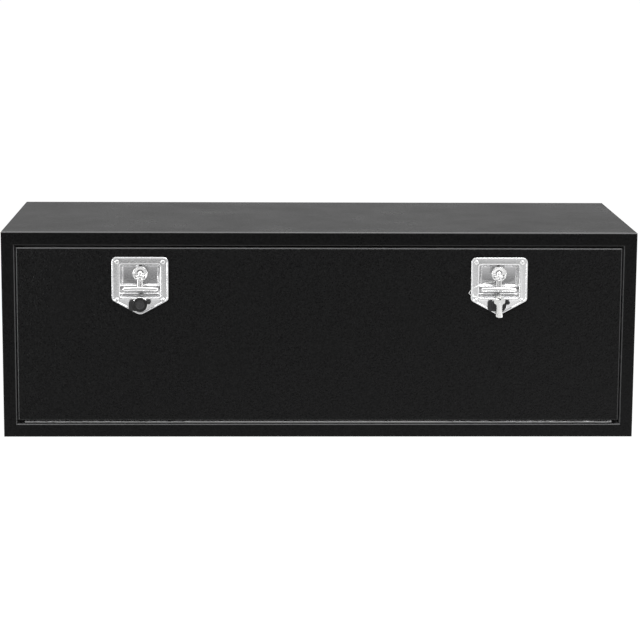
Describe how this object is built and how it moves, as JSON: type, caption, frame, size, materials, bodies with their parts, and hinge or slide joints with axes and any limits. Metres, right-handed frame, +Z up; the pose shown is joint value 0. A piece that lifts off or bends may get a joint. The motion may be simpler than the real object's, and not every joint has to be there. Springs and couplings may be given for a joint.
{
  "type": "underbody truck tool box",
  "caption": "Long black steel underbody tool box with a flush drop-down door on a continuous hinge, folding T-handle latches with key locks under rubber flaps, and keys on a wire ring.",
  "frame": {"origin": "middle of the base, on the surface that the box stands on", "axes": "+X along the box to the right as seen from the front, +Y from the door to the back, +Z up"},
  "size_m": [1.219, 0.4745, 0.4],
  "materials": {
    "powder_coat": "fine textured black powder coat",
    "seal_rubber": "soft black sponge rubber",
    "hinge_steel": "plain rolled stainless steel",
    "stainless": "pressed and brushed stainless steel",
    "rivet_steel": "bright drawn stainless steel",
    "handle_steel": "polished stainless steel",
    "zinc": "bright zinc plating",
    "lock_chrome": "chromed zinc casting",
    "brass": "turned brass",
    "flap_rubber": "moulded black rubber",
    "key_nickel": "nickel plating"
  },
  "bodies": {
    "box": {"body_wrap": "powder_coat", "left_end_panel": "powder_coat", "right_end_panel": "powder_coat", "front_frame": "powder_coat", "door_seal": "seal_rubber", "hinge_leaf_frame": "hinge_steel", "hinge_pin": "hinge_steel"},
    "door": {"door_skin": "powder_coat", "door_stiffener": "powder_coat", "hinge_leaf_door": "hinge_steel", "left_latch_plate": "stainless", "left_plate_gasket": "seal_rubber", "left_latch_rivet_1": "rivet_steel", "left_latch_rivet_2": "rivet_steel", "left_latch_rivet_3": "rivet_steel", "left_latch_rivet_4": "rivet_steel", "left_lock_cylinder": "lock_chrome", "left_lock_nut": "zinc", "left_flap_pin": "flap_rubber", "right_latch_plate": "stainless", "right_plate_gasket": "seal_rubber", "right_latch_rivet_1": "rivet_steel", "right_latch_rivet_2": "rivet_steel", "right_latch_rivet_3": "rivet_steel", "right_latch_rivet_4": "rivet_steel", "right_lock_cylinder": "lock_chrome", "right_lock_nut": "zinc", "right_flap_pin": "flap_rubber"},
    "left_hub": {"left_handle_hub": "handle_steel", "left_handle_pin": "handle_steel", "left_spacer_bush": "zinc", "left_cam": "zinc", "left_cam_washer": "zinc", "left_cam_nut": "zinc"},
    "left_handle": {"left_t_handle": "handle_steel"},
    "left_plug": {"left_key_plug": "brass", "left_lock_tongue": "zinc", "left_tongue_screw": "zinc"},
    "left_flap": {"left_key_flap": "flap_rubber"},
    "right_hub": {"right_handle_hub": "handle_steel", "right_handle_pin": "handle_steel", "right_spacer_bush": "zinc", "right_cam": "zinc", "right_cam_washer": "zinc", "right_cam_nut": "zinc"},
    "right_handle": {"right_t_handle": "handle_steel"},
    "right_plug": {"right_key_plug": "brass", "right_lock_tongue": "zinc", "right_tongue_screw": "zinc"},
    "right_flap": {"right_key_flap": "flap_rubber"},
    "key_ring": {"right_key_ring": "key_nickel"},
    "key_a": {"right_key_a": "key_nickel"},
    "key_b": {"right_key_b": "key_nickel"}
  },
  "joints": [
    {"name": "door_hinge", "type": "hinge", "parent": "box", "child": "door", "pos_m": [0, -0.21578, 0.0292], "axis": [1, 0, 0], "range_deg": [0, 90]},
    {"name": "left_handle_turn", "type": "hinge", "parent": "door", "child": "left_hub", "pos_m": [-0.3445, -0.21938, 0.32015], "axis": [0, -1, 0], "range_deg": [0, 90]},
    {"name": "left_handle_fold", "type": "hinge", "parent": "left_hub", "child": "left_handle", "pos_m": [-0.3445, -0.21378, 0.32015], "axis": [-1, 0, 0], "range_deg": [0, 90]},
    {"name": "left_key_turn", "type": "hinge", "parent": "door", "child": "left_plug", "pos_m": [-0.3445, -0.21938, 0.2612], "axis": [0, 1, 0], "range_deg": [0, 90]},
    {"name": "left_flap_swing", "type": "hinge", "parent": "door", "child": "left_flap", "pos_m": [-0.3275, -0.21938, 0.2662], "axis": [0, -1, 0], "range_deg": [0, 90]},
    {"name": "right_handle_turn", "type": "hinge", "parent": "door", "child": "right_hub", "pos_m": [0.3445, -0.21938, 0.32015], "axis": [0, -1, 0], "range_deg": [0, 90]},
    {"name": "right_handle_fold", "type": "hinge", "parent": "right_hub", "child": "right_handle", "pos_m": [0.3445, -0.21378, 0.32015], "axis": [-1, 0, 0], "range_deg": [0, 90]},
    {"name": "right_key_turn", "type": "hinge", "parent": "door", "child": "right_plug", "pos_m": [0.3445, -0.21938, 0.2612], "axis": [0, 1, 0], "range_deg": [0, 90]},
    {"name": "right_flap_swing", "type": "hinge", "parent": "door", "child": "right_flap", "pos_m": [0.3615, -0.21938, 0.2662], "axis": [0, -1, 0], "range_deg": [0, 90]},
    {"name": "key_ring_swing", "type": "hinge", "parent": "right_handle", "child": "key_ring", "pos_m": [0.3445, -0.21818, 0.29015], "axis": [-1, 0, 0], "range_deg": [0, 20]},
    {"name": "key_a_swing", "type": "hinge", "parent": "key_ring", "child": "key_a", "pos_m": [0.34485, -0.23077, 0.27529], "axis": [0, 1, 0], "range_deg": [-25, 25]},
    {"name": "key_b_swing", "type": "hinge", "parent": "key_ring", "child": "key_b", "pos_m": [0.3444, -0.23297, 0.27492], "axis": [0, 1, 0], "range_deg": [-25, 25]}
  ],
  "couplings": [
    {"joint": "left_handle_fold", "follows": "left_handle_turn", "ratio": 1},
    {"joint": "right_handle_fold", "follows": "right_handle_turn", "ratio": 1}
  ]
}
